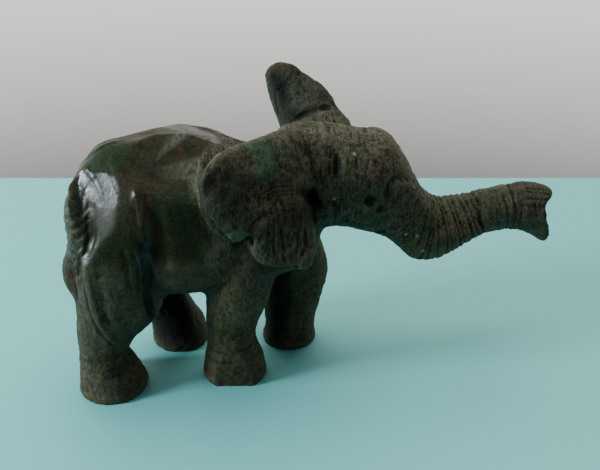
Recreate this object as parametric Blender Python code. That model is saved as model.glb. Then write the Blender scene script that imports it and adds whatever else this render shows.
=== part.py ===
"""Elephant carved from one block of green verdite stone. It walks on four short legs, holds its trunk out
ahead, lays its right ear back along the shoulder and spreads its left one.

+Z is up, the trunk points along +X and the animal's left side is +Y. The design is written in millimetres
from the middle line of the body, and MM turns it into metres.
"""

import math

import bmesh
import bpy
import numpy as np

MM = 0.001

# Driving sizes: the ends of the rump and trunk, the heights of back and belly and of the cut that flattens
# the soles, the spacing of the tail's plaits and the height where they end in the tuft
REAR = -79.5
TRUNK_TIP = 83.5
BACK_HEIGHT = 86.0
BODY_HALF_WIDTH = 24.0
BELLY_HEIGHT = 31.5
SOLE_CUT = 0.4
PLAIT = 2.9
TUFT_HEIGHT = 49.0

# Fineness of the modelling mesh, and the number of facets left on the finished stone
BODY_VOXEL = 0.9
FINE_VOXEL = 0.7
TRIANGLES = 9400


def through(rows, steps):
    """Rows of numbers run smoothly through the given ones, with the given steps between each two."""
    rows = np.array(rows, float)
    slopes = np.gradient(rows, axis=0)
    out = []
    for here, there, start, end in zip(rows, rows[1:], slopes, slopes[1:]):
        for t in np.arange(steps) / steps:
            out.append(here * (1 + 2 * t) * (1 - t) ** 2 + start * t * (1 - t) ** 2
                       + there * t * t * (3 - 2 * t) + end * t * t * (t - 1))
    return np.array(out + [rows[-1]])


def closed_through(rows, steps):
    """The same for rows that come round to the first again."""
    rows = [*rows[-2:], *rows, *rows[:3]]
    return through(rows, steps)[2 * steps:-2 * steps - 1][:(len(rows) - 5) * steps]


def ring(centre, side, rise, drop=None, square=2.0, square_below=None, count=40):
    """A closed section. Side and rise reach from its centre, and drop is the lower half's own reach.
    A squareness of 2 is an ellipse, and more is boxier."""
    centre, side, rise = (np.array(v, float) for v in (centre, side, rise))
    drop = rise if drop is None else np.array(drop, float)
    points = []
    for angle in np.arange(count) * 2 * math.pi / count:
        across, up = math.cos(angle), math.sin(angle)
        power = 2 / (square if up > 0 else square_below or square)
        across = math.copysign(abs(across) ** power, across)
        up = math.copysign(abs(up) ** power, up)
        points.append(centre + side * across + (rise if up > 0 else drop) * up)
    return np.array(points)


def stone(name, vertices, faces):
    """A mesh object from points in millimetres."""
    mesh = bpy.data.meshes.new(name)
    mesh.from_pydata([tuple(v) for v in np.asarray(vertices) * MM], [], [tuple(f) for f in faces])
    thing = bpy.data.objects.new(name, mesh)
    bpy.context.collection.objects.link(thing)
    shape = bmesh.new()
    shape.from_mesh(mesh)
    bmesh.ops.recalc_face_normals(shape, faces=shape.faces)
    shape.to_mesh(mesh)
    shape.free()
    return thing


def loft(name, rings):
    """A closed form skinned over rings that have the same number of points."""
    count = len(rings[0])
    faces = []
    for level in range(len(rings) - 1):
        low, high = level * count, (level + 1) * count
        for here in range(count):
            there = (here + 1) % count
            faces.append((low + here, low + there, high + there, high + here))
    faces.append(range(count))
    faces.append(range((len(rings) - 1) * count, len(rings) * count))
    return stone(name, np.concatenate(rings), faces)


def fan(name, outline, hub, bulge, thickness, rings=16):
    """A curved plate spread from a hub to an outline, with a rounded rim."""
    outline, hub = np.array(outline, float), np.array(hub, float)
    spread = outline - hub
    normal = np.cross(spread, np.roll(spread, -1, axis=0)).sum(0)
    normal /= np.linalg.norm(normal)
    lift = spread @ normal
    flat = spread - lift[:, None] * normal
    sides = []
    for face in (1, -1):
        points = []
        for fraction in np.sqrt(np.linspace(0.02, 1, rings)):
            half = thickness / 2 * math.sqrt(1 - 0.85 * fraction ** 8)
            rise = lift * fraction ** 2 + bulge * (1 - fraction ** 2) + face * half
            points.append(hub + flat * fraction + rise[:, None] * normal)
        sides.append(points)
    return loft(name, sides[0] + sides[1][::-1])


def merged(name, things, voxel, rounds):
    """One closed form from things that overlap, with its joints smoothed over."""
    shape = bmesh.new()
    for thing in things:
        shape.from_mesh(thing.data)
        bpy.data.objects.remove(thing)
    mesh = bpy.data.meshes.new(name)
    shape.to_mesh(mesh)
    shape.free()
    whole = bpy.data.objects.new(name, mesh)
    bpy.context.collection.objects.link(whole)
    remesh = whole.modifiers.new("One skin", "REMESH")
    remesh.mode = "VOXEL"
    remesh.voxel_size = voxel * MM
    smooth = whole.modifiers.new("Rubbed down", "SMOOTH")
    smooth.factor = 0.5
    smooth.iterations = rounds
    return baked(whole)


def baked(thing):
    """The thing with its modifiers worked into its mesh."""
    evaluated = thing.evaluated_get(bpy.context.evaluated_depsgraph_get())
    mesh = bpy.data.meshes.new_from_object(evaluated)
    thing.modifiers.clear()
    thing.data = mesh
    mesh.name = thing.name
    return thing


def surface(thing):
    """The points of a mesh in millimetres, and their normals."""
    count = len(thing.data.vertices)
    points, normals = np.empty(count * 3), np.empty(count * 3)
    thing.data.vertices.foreach_get("co", points)
    thing.data.vertex_normals.foreach_get("vector", normals)
    return points.reshape(-1, 3) / MM, normals.reshape(-1, 3)


def reshape(thing, points):
    thing.data.vertices.foreach_set("co", (points * MM).ravel())
    thing.data.update()


def stroke(thing, path, width, depth, toward=None):
    """A soft groove pressed in along a path, to width on each side. A negative depth raises a ridge. It goes
    in against the surface's normals, or the given way."""
    points, normals = surface(thing)
    path = through(path, 8) if len(path) > 1 else np.array(path, float)
    near = np.flatnonzero(np.all((points > path.min(0) - width) & (points < path.max(0) + width), axis=1))
    gaps = np.linalg.norm(points[near, None] - path[None], axis=2)
    along = gaps.argmin(1) / max(len(path) - 1, 1)
    ends = np.clip(5 * np.minimum(along, 1 - along), 0.25, 1) if len(path) > 1 else 1
    amount = ends * depth * np.clip(1 - (gaps.min(1) / width) ** 2, 0, 1) ** 2
    way = -normals[near] if toward is None else np.array(toward, float)
    points[near] += amount[:, None] * way
    reshape(thing, points)


def plane_off(thing, place, outward, reach):
    """A flat ground into the stone through a place, fading out at its reach."""
    points, _ = surface(thing)
    outward = np.array(outward, float) / np.linalg.norm(outward)
    away = points - np.array(place, float)
    over = np.clip(away @ outward, 0, None)
    hold = np.clip((reach - np.linalg.norm(away, axis=1)) / (0.25 * reach), 0, 1)
    reshape(thing, points - (over * hold)[:, None] * outward)


def body():
    """Rump, flanks and chest: rear to front, with each section's top, underside, half width and squareness."""
    rows = [
        (REAR, 58, 50, 4, 2.0),
        (REAR + 1.2, 66, 44, 10, 2.0),
        (REAR + 4.5, 73.8, 39, 15.7, 2.0),
        (REAR + 11.5, 81.8, 35, 20.8, 2.0),
        (-59, BACK_HEIGHT - 1.8, BELLY_HEIGHT + 1, 23.3, 2.0),
        (-49, BACK_HEIGHT + 0.2, BELLY_HEIGHT, BODY_HALF_WIDTH, 2.1),
        (-38, BACK_HEIGHT + 0.8, BELLY_HEIGHT, BODY_HALF_WIDTH, 2.15),
        (-28, BACK_HEIGHT - 3.3, BELLY_HEIGHT + 1, 23.5, 2.1),
        (-19, BACK_HEIGHT - 6.5, BELLY_HEIGHT + 3, 22.0, 2.1),
        (-10, BACK_HEIGHT - 7, BELLY_HEIGHT + 5, 20.0, 2.1),
        (-2, 77, BELLY_HEIGHT + 7, 17.0, 2.1),
        (1.4, 71, BELLY_HEIGHT + 13.5, 11.0, 2.0),
        (2.6, 63, BELLY_HEIGHT + 20, 5.0, 2.0),
    ]
    rings = []
    for x, top, low, half, square in through(rows, 5):
        widest = low + (top - low) * 0.47
        rings.append(ring((x, 0, widest), (0, half, 0), (0, 0, top - widest), (0, 0, widest - low), square, 2.3))
    return loft("body", rings)


def head_and_trunk():
    """Skull, face and trunk: rear to front, with each section's top, underside, half width and squareness."""
    rows = [
        (-17, 78, 54, 12, 2.0),
        (-9, 85.6, 52, 15, 2.1),
        (-1, 86.4, 51.5, 16, 2.2),
        (8, 85.4, 51.8, 16, 2.2),
        (16, 83.8, 49.6, 15.5, 2.2),
        (22, 83.7, 47.0, 14, 2.2),
        (26, 81.6, 45.0, 13, 2.2),
        (30, 76.0, 40.8, 12.2, 2.1),
        (34, 68.6, 36.7, 11.8, 2.1),
        (38, 62.0, 35.6, 11.4, 2.1),
        (43, 57.8, 36.5, 11.0, 2.0),
        (50, 57.6, 39.8, 10.0, 2.0),
        (57, 58.9, 43.9, 9.0, 2.0),
        (63, 60.0, 45.7, 8.4, 2.0),
        (70, 61.4, 45.8, 8.2, 2.0),
        (76, 61.4, 43.8, 8.6, 2.1),
        (TRUNK_TIP - 2, 60.0, 40.8, 9.2, 2.2),
        (TRUNK_TIP, 59.4, 40.0, 9.2, 2.2),
    ]
    rings = []
    for x, top, low, half, square in through(rows, 5):
        middle = (top + low) / 2
        rings.append(ring((x, 0, middle), (0, half, 0), (0, 0, (top - low) / 2), None, square))
    return loft("head and trunk", rings)


def leg(name, rows):
    """A leg from the sole up: each section's height, middle and half sizes along and across the body."""
    rings = []
    for z, x, y, along, across in through(rows, 4):
        rings.append(ring((x, y, z), (along, 0, 0), (0, across, 0), None, 2.0 if z < 12 else 2.2))
    return loft(name, rings)


def legs():
    """Right legs back and left legs forward, as in a slow walk. The feet are short blocks."""
    right_hind = [
        (-1, -69.9, -13.5, 10.4, 11.0),
        (3, -69.9, -13.5, 11.2, 11.5),
        (8, -70.8, -13, 10.0, 10.9),
        (14, -72.1, -12.3, 8.1, 9.4),
        (22, -69.8, -12.0, 10.4, 10.1),
        (31, -65.6, -11.8, 13.8, 11.2),
        (41, -63.6, -11.6, 15.4, 12.0),
        (53, -62.6, -11.0, 15.4, 12.2),
        (68, -61.0, -9.0, 12.0, 10.0),
    ]
    left_hind = [
        (-1, -47.2, 12.5, 9.4, 9.6),
        (3, -47.2, 12.5, 10.0, 10.2),
        (8, -47.9, 12.6, 9.8, 9.9),
        (15, -50.4, 12.6, 8.4, 9.2),
        (23, -54.0, 12.2, 9.2, 9.8),
        (32, -57.2, 12.0, 11.6, 10.8),
        (42, -58.5, 11.8, 15.0, 11.8),
        (54, -61.5, 11.0, 15.0, 12.0),
        (68, -61.0, 9.0, 12.0, 10.0),
    ]
    right_fore = [
        (-1, -28.3, -11.2, 10.0, 10.0),
        (3, -28.3, -11.2, 10.7, 10.7),
        (8, -28.4, -10.9, 10.1, 10.0),
        (14, -29.0, -10.4, 8.4, 8.8),
        (21, -28.6, -10.4, 8.8, 9.0),
        (31, -26.3, -10.6, 10.6, 10.0),
        (42, -24.4, -11.2, 11.3, 11.0),
        (54, -22.0, -11.6, 13.0, 11.8),
        (68, -20.0, -10.0, 10.5, 10.0),
    ]
    left_fore = [
        (-1, -7.2, 8, 8.7, 8.6),
        (2, -7.2, 8, 9.4, 9.3),
        (6, -6.9, 8.2, 9.1, 8.9),
        (12, -6.4, 8.6, 9.6, 9.2),
        (22, -5.2, 9.2, 10.9, 9.8),
        (30, -4.4, 9.8, 11.7, 10.4),
        (40, -6.9, 10.2, 11.4, 11.0),
        (52, -11.0, 10.4, 12.0, 11.2),
        (66, -14.0, 9.0, 10.0, 9.0),
    ]
    rows = {"right hind": right_hind, "left hind": left_hind, "right fore": right_fore, "left fore": left_fore}
    return [leg(name, sections) for name, sections in rows.items()]


def right_ear():
    """Laid back along the shoulder, its rim standing 5 mm proud of the flank."""
    outline = [
        (-10.2, -7, 87.9), (-17, -10, 87.0), (-24, -15, 86.7), (-31, -22, 86.6), (-35.6, -26.5, 82.8),
        (-36.9, -28, 78), (-36, -28, 72.5), (-33.5, -28, 68), (-30.5, -27.6, 64), (-27.2, -27, 59.4),
        (-25, -26.6, 60), (-22.8, -26.6, 64.5), (-22.6, -26.6, 60), (-22.2, -26.4, 56), (-20.2, -26.2, 52.2),
        (-16.5, -26, 50.3), (-11, -26, 49.8), (-5.2, -25, 48.8), (-2.9, -22, 54), (-0.7, -19.5, 60),
        (-1.2, -17.5, 66), (-2.6, -14, 71.5), (-2.5, -9.5, 79), (-6, -5.5, 85.5),
    ]
    return fan("right ear", closed_through(outline, 3), (-12, -20, 70), 0.6, 6.5)


def left_ear():
    """Spread out and up from the side of the head, with a thick root."""
    outline = [
        (15.0, 12, 79.5), (11, 18, 85.5), (6.8, 24, 91.7), (0.8, 29, 94.7), (-3, 31, 97.4), (-8.4, 32, 98.0),
        (-12.0, 31, 95.0), (-10.4, 31, 86), (-7, 31, 76), (-5.5, 30, 67), (-4, 27, 60), (0, 22, 56),
        (5, 17, 59), (8, 13, 67),
    ]
    return fan("left ear", closed_through(outline, 3), (-1, 22, 80), 0, 6.0)


def tail():
    """Pressed to the rump and swung to the right, plaited down to a tuft."""
    rows = [
        (-70.4, -6, 76, 2.5), (-74.3, -11.3, 70, 3.7), (-75.0, -13.2, 63, 3.9), (-74.8, -13.8, 57.5, 3.9),
        (-76.4, -13.5, 52, 3.4), (-78.0, -12.8, 47.5, 3.5), (-78.2, -12.4, 42, 3.8), (-76.8, -12.8, 36.5, 3.3),
        (-74.5, -13.8, 31, 2.0), (-72.5, -14.5, 26, 1.0),
    ]
    rings = []
    for x, y, z, reach in through(rows, 9):
        plait = 0.12 * math.cos(2 * math.pi * z / PLAIT) if z > TUFT_HEIGHT else 0
        rings.append(ring((x, y, z), (reach * (1 + plait), 0, 0), (0, reach * (1 + plait), 0), count=24))
    return loft("tail", rings)


def grind_flats(thing):
    """The broad polished flats of the back and rump, and the plane faces of the head."""
    plane_off(thing, (-42, -12, 77.9), (0.09, -0.573, 0.814), 24)
    plane_off(thing, (-62, -10, 80.8), (-0.36, -0.47, 0.80), 12)
    plane_off(thing, (-66, -18, 68), (-0.52, -0.78, 0.34), 12)
    plane_off(thing, (-45, -23.0, 58), (0.0, -1.0, 0.06), 14)
    plane_off(thing, (-42, 18, 76), (0.05, 0.68, 0.73), 18)
    plane_off(thing, (-60, 8, 82.0), (-0.25, 0.47, 0.85), 14)
    plane_off(thing, (14, -15.2, 70), (0.12, -0.99, 0.06), 12)
    plane_off(thing, (28.6, 0, 79.9), (0.83, 0, 0.56), 11)


def carve(thing):
    """Folds, creases and hollows that read from a step away."""
    # Right thigh: its front edge from the back down, the deep fold before it and a second beside it
    stroke(thing, [(-55.8, -17, 76.5), (-55.0, -21.5, 69), (-54.2, -23.3, 63), (-53, -23.7, 56)], 2.2, -0.8)
    stroke(thing, [(-51.5, -20, 72), (-50.5, -23, 64), (-50, -24, 54), (-51, -22.5, 44)], 4.5, 1.4)
    stroke(thing, [(-53.6, -24, 57), (-54.5, -23.2, 50), (-54.6, -22, 43), (-54.8, -20.5, 35.5),
                   (-55.4, -18, 29)], 2.4, 2.6)
    stroke(thing, [(-58, -23.5, 56), (-57.2, -23, 48), (-58, -22.6, 38)], 1.6, 0.7)
    # Right hind leg: the ridge between its rear and outer face
    stroke(thing, [(-74.6, -18.7, 54), (-73, -21.2, 46), (-72.2, -21.9, 36), (-68.8, -22.4, 25.6)], 2.2, -0.8)
    # Left thigh and left shoulder, plainer
    stroke(thing, [(-48, 23.5, 66), (-46, 23.5, 54), (-46.5, 21.5, 42)], 4.0, 1.4)
    stroke(thing, [(-22, 22, 62), (-20.5, 21.5, 52), (-18.5, 20, 43)], 3.5, 1.0)
    # Tail: the groove between it and the thigh
    stroke(thing, [(-69.3, -13, 72), (-70.3, -17.5, 66.5), (-70.6, -19, 60.5), (-72, -19.5, 55), (-74.6, -18.6, 50),
                   (-75, -18.5, 44), (-73.5, -18.5, 37)], 2.0, 1.6)
    # Pocket between the right ear and the cheek, the slit below it and the shallow groove above it
    inward = (0.05, 0.87, -0.49)
    stroke(thing, [(-4.8, -19.5, 71.5), (-2.7, -18.5, 68.5), (-2.2, -19.5, 65)], 4.2, 9, inward)
    stroke(thing, [(-2.4, -18.6, 67), (-2.2, -20.5, 64.5), (-1.6, -21.3, 61.5), (-1.0, -21.5, 58.5), (0, -20, 55)],
           3.0, 6, inward)
    stroke(thing, [(5.5, -9, 84), (5, -13.5, 79.4), (5.2, -16, 72)], 4.5, 1.1)
    # Right ear: the dish of its upper lobe and the folds across it
    stroke(thing, [(-28, -26, 77), (-20, -25, 75), (-12, -23, 75)], 6, 1.0)
    stroke(thing, [(-20, -26, 73.5), (-15, -25, 75), (-8, -22, 74.5)], 1.3, 0.7)
    stroke(thing, [(-24, -27, 61), (-21, -27, 66), (-17, -27, 69)], 1.6, 0.8)
    # Left ear: the crease along its root, and the dish of its front
    stroke(thing, [(-2.9, 20.3, 81.5), (0.7, 19.2, 83.4), (4.4, 18.2, 85.2), (8, 17.2, 86.2)], 2.0, 1.4)
    stroke(thing, [(0, 30, 86), (-1, 29, 76), (-1, 26, 66)], 6, 1.2)
    # Face, on both sides: eye, the lid below it, the round root of the trunk and the mouth
    for side in (-1, 1):
        stroke(thing, [(14.6, side * 15.7, 66.3), (16.8, side * 15.2, 65.6), (19, side * 14.7, 64.6)], 2.6, 1.9)
        stroke(thing, [(14.2, side * 15.6, 63.4), (17.0, side * 15.2, 62.4), (19.6, side * 14.4, 63.6)], 1.3, -0.7)
        stroke(thing, [(19.6, side * 14.3, 63.2), (20.6, side * 14.1, 61.4)], 1.7, 1.1)
        stroke(thing, [(23.7, side * 13.5, 63.9), (22.5, side * 13.8, 66.6), (23.1, side * 13.4, 69.2),
                       (24.9, side * 12.3, 71.1), (26.8, side * 11, 71.4), (30.4, side * 7.5, 70.1)], 2.2, 1.2)
        stroke(thing, [(19.5, side * 10, 50.5), (23, side * 8.6, 51.5), (26, side * 8.5, 53)], 2.0, 1.4)
    # Trunk: the deepest ring
    stroke(thing, [(56.0, -1.9, 59), (55.4, -5.5, 57.5), (55.4, -8.3, 53.8), (56, -8.8, 48.5)], 1.1, 0.6)


def open_trunk_tip(thing):
    """The end of the trunk, with its upper finger ahead of the mouth, and two nostrils."""
    points, _ = surface(thing)
    behind = np.interp(points[:, 2], (40, 45, 50, 55, 57.8, 59), (1.0, 1.8, 3.2, 3.5, 1.2, 0.0))
    near_end = np.clip((points[:, 0] - TRUNK_TIP + 5) / 5, 0, 1)
    points[:, 0] -= behind * near_end
    reshape(thing, points)
    for side in (-1, 1):
        stroke(thing, [(TRUNK_TIP - 2, side * 3.4, 50)], 3.0, 3.5, (-1, 0, 0))


def finish(thing):
    """Thins the mesh to the stone's final facets and cuts the soles flat."""
    thin = thing.modifiers.new("Facets", "DECIMATE")
    faces = sum(len(face.vertices) - 2 for face in thing.data.polygons)
    thin.ratio = TRIANGLES / faces
    thing = baked(thing)
    shape = bmesh.new()
    shape.from_mesh(thing.data)
    everything = [*shape.verts, *shape.edges, *shape.faces]
    cut = bmesh.ops.bisect_plane(shape, geom=everything, dist=1e-7, plane_co=(0, 0, SOLE_CUT * MM),
                                 plane_no=(0, 0, -1), clear_outer=True)
    rims = [part for part in cut["geom_cut"] if isinstance(part, bmesh.types.BMEdge)]
    bmesh.ops.holes_fill(shape, edges=rims, sides=0)
    bmesh.ops.triangulate(shape, faces=shape.faces)
    bmesh.ops.recalc_face_normals(shape, faces=shape.faces)
    shape.to_mesh(thing.data)
    shape.free()
    return thing


def stand_on_origin(thing):
    """Moves the middle of the bounding box over the origin and the soles to height zero."""
    points, _ = surface(thing)
    low, high = points.min(0), points.max(0)
    offset = np.array([(low[0] + high[0]) / 2, (low[1] + high[1]) / 2, low[2]])
    reshape(thing, points - offset)
    return offset


for old in list(bpy.data.objects):
    bpy.data.objects.remove(old)

torso = merged("torso", [body(), head_and_trunk(), *legs()], BODY_VOXEL, 6)
grind_flats(torso)
elephant = merged("elephant", [torso, right_ear(), left_ear(), tail()], FINE_VOXEL, 2)
carve(elephant)
open_trunk_tip(elephant)
elephant = merged("elephant", [elephant], FINE_VOXEL, 1)
elephant = finish(elephant)
offset = stand_on_origin(elephant)
print("The body's own origin lies at", np.round(-offset, 2), "mm")

verdite = bpy.data.materials.new("verdite")
verdite.use_nodes = True
polish = verdite.node_tree.nodes["Principled BSDF"]
polish.inputs["Base Color"].default_value = (0.03, 0.035, 0.022, 1)
polish.inputs["Roughness"].default_value = 0.4
polish.inputs["Metallic"].default_value = 0
elephant.data.materials.clear()
elephant.data.materials.append(verdite)
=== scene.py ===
import math

import bmesh
import bpy
import numpy as np
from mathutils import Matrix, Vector
from mathutils.bvhtree import BVHTree


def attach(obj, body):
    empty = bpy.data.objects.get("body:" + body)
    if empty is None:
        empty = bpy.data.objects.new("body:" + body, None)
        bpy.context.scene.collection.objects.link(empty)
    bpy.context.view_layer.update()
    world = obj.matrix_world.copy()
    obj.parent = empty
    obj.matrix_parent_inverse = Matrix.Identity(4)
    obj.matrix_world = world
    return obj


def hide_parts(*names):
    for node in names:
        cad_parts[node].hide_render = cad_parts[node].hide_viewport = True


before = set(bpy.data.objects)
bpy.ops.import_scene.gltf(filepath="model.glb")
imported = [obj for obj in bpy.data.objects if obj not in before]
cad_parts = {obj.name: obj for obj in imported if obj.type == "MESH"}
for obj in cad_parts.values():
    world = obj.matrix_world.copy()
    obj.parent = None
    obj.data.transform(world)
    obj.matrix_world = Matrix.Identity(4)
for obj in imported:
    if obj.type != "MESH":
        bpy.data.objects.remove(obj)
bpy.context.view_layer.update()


# The carving is one block of verdite, sawn and roughed out to the frame's solid. Here it gets a finer
# skin, and the facets that the chisel left are rubbed down with wet grit, most of all on the body.

MM = 0.001
# The frame's zero in the millimetres that the places below are given in, and how fine the skin is
MIDDLE = np.array((0.397, 1.707, 0.4))
SKIN = 0.5


def new_thing(name, mesh):
    thing = bpy.data.objects.new(name, mesh)
    bpy.context.collection.objects.link(thing)
    return thing


def worked_in(thing):
    """The thing with its modifiers worked into a plain mesh."""
    evaluated = thing.evaluated_get(bpy.context.evaluated_depsgraph_get())
    mesh = bpy.data.meshes.new_from_object(evaluated)
    thing.modifiers.clear()
    thing.data = mesh
    return thing


def skin_of(thing):
    """The points of a mesh in millimetres, and their normals."""
    count = len(thing.data.vertices)
    points, normals = np.empty(count * 3), np.empty(count * 3)
    thing.data.vertices.foreach_get("co", points)
    thing.data.vertex_normals.foreach_get("vector", normals)
    return points.reshape(-1, 3) / MM + MIDDLE, normals.reshape(-1, 3)


def set_skin(thing, points):
    thing.data.vertices.foreach_set("co", ((points - MIDDLE) * MM).ravel())
    thing.data.update()


def next_to(thing):
    """Each edge's two points, and how many edges meet at each point."""
    edges = np.empty(len(thing.data.edges) * 2, np.int32)
    thing.data.edges.foreach_get("vertices", edges)
    return edges.reshape(-1, 2), np.bincount(edges, minlength=len(thing.data.vertices))[:, None]


def neighbours(points, edges, links):
    """The mean place of each point's neighbours."""
    a, b = edges.T
    return np.stack([np.bincount(a, points[b, k], len(points)) + np.bincount(b, points[a, k], len(points))
                     for k in range(points.shape[1])], 1) / links


def rubbed(thing, share, rounds, pull=0.6, push=-0.63):
    """Rubs a surface down, by a share that may differ from place to place. Each round pulls the points
    together and pushes them back a little further, so that nothing gets thinner."""
    points, _ = skin_of(thing)
    edges, links = next_to(thing)
    for turn in range(rounds):
        for step in (pull, push):
            points += (neighbours(points, edges, links) - points) * (share * step)[:, None]
    set_skin(thing, points)


def share_between(value, low, high):
    t = np.clip((value - low) / (high - low), 0, 1)
    return t * t * (3 - 2 * t)


def near_to(points, centre, radius):
    """How near each point is to a centre: 1 there, 0 at the radius."""
    centre, radius = np.array(centre, float), np.array(radius, float)
    away = (((points - centre) / radius) ** 2).sum(1)
    return np.clip(1 - away, 0, 1)


def through(rows, steps=8):
    """Points on a smooth line through the given ones."""
    rows = np.array(rows, float)
    slopes = np.gradient(rows, axis=0)
    t = np.arange(steps)[:, None] / steps
    out = []
    for here, there, start, end in zip(rows, rows[1:], slopes, slopes[1:]):
        out.append(here * (1 + 2 * t) * (1 - t) ** 2 + start * t * (1 - t) ** 2
                   + there * t * t * (3 - 2 * t) + end * t * t * (t - 1))
    return np.concatenate([*out, rows[-1:]])


def near_line(points, path, width):
    """How near each point is to a line: 1 on it, 0 at the width."""
    path = through(path, 6)
    gaps = np.full(len(points), np.inf)
    for point in path:
        gaps = np.minimum(gaps, ((points - point) ** 2).sum(1))
    return np.clip(1 - gaps / width ** 2, 0, 1)


block = bmesh.new()
block.from_mesh(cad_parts["elephant"].data)
bmesh.ops.remove_doubles(block, verts=block.verts, dist=1e-6)
mesh = bpy.data.meshes.new("elephant carving")
block.to_mesh(mesh)
block.free()
elephant = new_thing("elephant_carving", mesh)
remesh = elephant.modifiers.new("Fine skin", "REMESH")
remesh.mode = "VOXEL"
remesh.voxel_size = SKIN * MM
worked_in(elephant)
rubbed(elephant, np.ones(len(elephant.data.vertices)), 1)

# The edges left sharp on the body: along the back, round the rump, and below the flat of the flank
KEPT_EDGES = ([(-58, -1, 84.7), (-51.5, 1, 86), (-44.2, 0.1, 86.4), (-39, -1.3, 85.1),
               (-32.3, -3.4, 82.9)],
              [(-57, -8.3, 83), (-56.4, -11, 81.4), (-55.8, -13.4, 79.5)],
              [(-54, -20.3, 73.6), (-47, -20.8, 72.2), (-40, -20.7, 71.4)],
              [(-74.2, -2, 75), (-71.5, -5, 77.8), (-67.5, -3.5, 81.3), (-62, -3.2, 83.4)])
KEPT_WIDTH = 3.5
COARSE_ROUNDS, FINE_ROUNDS = 2, 22
points, _ = skin_of(elephant)
kept = np.maximum.reduce([near_line(points, path, KEPT_WIDTH) for path in KEPT_EDGES])
body = share_between(-points[:, 0], 38, 44) * share_between(points[:, 2], 22, 32)
rubbed(elephant, body, COARSE_ROUNDS)
rubbed(elephant, body * (1 - kept), FINE_ROUNDS)

# Where the carving is a little fuller than the rough block: along the trunk, round the edges of the soles,
# and at places that are given by how much, their middle and their reach
FULLER = ((0.4, (-79, -15, 47.5), (5, 7, 8)), (0.6, (-66, -1.5, 81.5), (13, 7, 7)),
          (1.2, (-57, -17, 30), (7, 8, 10)), (0.6, (-42, -19, 43), (9, 7, 5)),
          (1.3, (-74.5, -7, 75.5), (6, 7, 6)), (0.9, (-4, -24.5, 50.5), (5, 6, 5)),
          (0.8, (-36, 9, 84), (11, 7, 5)))
points, normals = skin_of(elephant)
fuller = 0.3 * share_between(points[:, 0], 37, 42) + 0.6 * share_between(-points[:, 2], -4.5, -1.5)
for amount, middle, reach in FULLER:
    fuller += amount * near_to(points, middle, reach)
set_skin(elephant, points + fuller[:, None] * normals)


# Flats and folds cut with a chisel and then filed: the planes of the back, the rump and the right ear, the
# folds of the thigh, the pocket behind the right cheek, the face, and the creases over the feet.

def flat(place, outward, reach):
    """Grinds a plane through a place, fading out at its reach."""
    points, _ = skin_of(elephant)
    outward = np.array(outward, float) / np.linalg.norm(outward)
    away = points - np.array(place, float)
    over = np.clip(away @ outward, 0, None)
    hold = np.clip((reach - np.linalg.norm(away, axis=1)) / (0.25 * reach), 0, 1)
    set_skin(elephant, points - (over * hold)[:, None] * outward)


# A place on each flat, the way it faces and its reach: three on the back, three on the rump, two on the
# right ear and one on the side of the right fore foot
FLATS = (((-38.5, -1.5, 84.9), (0.294, 0.043, 0.955), 14), ((-47, 0.5, 85.7), (0.02, 0.03, 1), 11),
         ((-43.8, -6.3, 82.0), (0.09, -0.57, 0.81), 15),
         ((-66.2, -16.6, 70.2), (-0.50, -0.72, 0.48), 11),
         ((-69.3, -11.8, 75.0), (-0.58, -0.62, 0.53), 8), ((-58.0, -20.8, 69.3), (-0.18, -0.92, 0.35), 8),
         ((-27.5, -27.9, 76.5), (0.20, -0.94, 0.28), 11),
         ((-26.2, -27.5, 61.2), (-0.05, -0.86, -0.50), 5.5),
         ((-28.8, -19.7, 4), (-0.12, -0.99, 0.05), 11))
for place, outward, reach in FLATS:
    flat(place, outward, reach)


def surface_tree():
    """The carving's surface, for laying a line on it."""
    points, _ = skin_of(elephant)
    return BVHTree.FromPolygons(points.tolist(), [face.vertices[:] for face in elephant.data.polygons])


def laid_on(tree, path):
    """The path's points moved to the nearest places on the surface."""
    return np.array([tree.find_nearest(Vector(point))[0] for point in path])


def stroke(points, normals, path, width, depth, soft, toward, taper):
    """Presses a groove of the given depth along a path, and raises a ridge where the depth is negative."""
    low, high = path.min(0) - width, path.max(0) + width
    near = np.flatnonzero(((points > low) & (points < high)).all(axis=1))
    if not len(near):
        return
    gaps = np.linalg.norm(points[near, None] - path[None], axis=2)
    along = gaps.argmin(1) / max(len(path) - 1, 1)
    ends = np.clip(5 * np.minimum(along, 1 - along), taper, 1)
    amount = ends * depth * np.clip(1 - (gaps.min(1) / width) ** 2, 0, 1) ** soft
    way = -normals[near] if toward is None else np.array(toward, float)
    points[near] += amount[:, None] * way


tree = surface_tree()
points, normals = skin_of(elephant)


def cut(path, width, depth, soft=2.0, toward=None, taper=0.25, steps=8):
    """A stroke along a smooth line that is laid on the carving."""
    stroke(points, normals, laid_on(tree, through(path, steps)), width, depth, soft, toward, taper)


# The back's outline over the rump, left as a low crest
cut([(-74.3, -3, 74), (-72.2, -2, 77.8), (-67.6, -2.6, 81.4), (-63.9, -1.6, 83.3), (-58, -0.6, 84.8)],
    1.5, -0.4)
# Right thigh: the light edge down its front, the deep fold before it and the finer one beside it
cut([(-56.2, -16, 77), (-55.4, -20.5, 70.5), (-54.4, -23.3, 63), (-53, -23.7, 56)], 0.9, -0.22)
THIGH_FOLD = [(-54.4, -23, 58), (-54.7, -22.4, 46.5), (-54.8, -20.5, 35.5), (-55.4, -18, 29)]
cut(THIGH_FOLD, 2.2, 0.45)
cut([(-58.2, -23.3, 58), (-57, -22.9, 48), (-57.7, -22.4, 36.9)], 1.1, 0.4)
cut([(-56.6, -23.3, 56), (-55.9, -22.9, 47), (-56.3, -21.5, 37)], 0.8, -0.2)
cut([(-61.5, -23.2, 60), (-60.2, -23, 50), (-60.6, -22.6, 40)], 1.6, 0.3)
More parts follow.
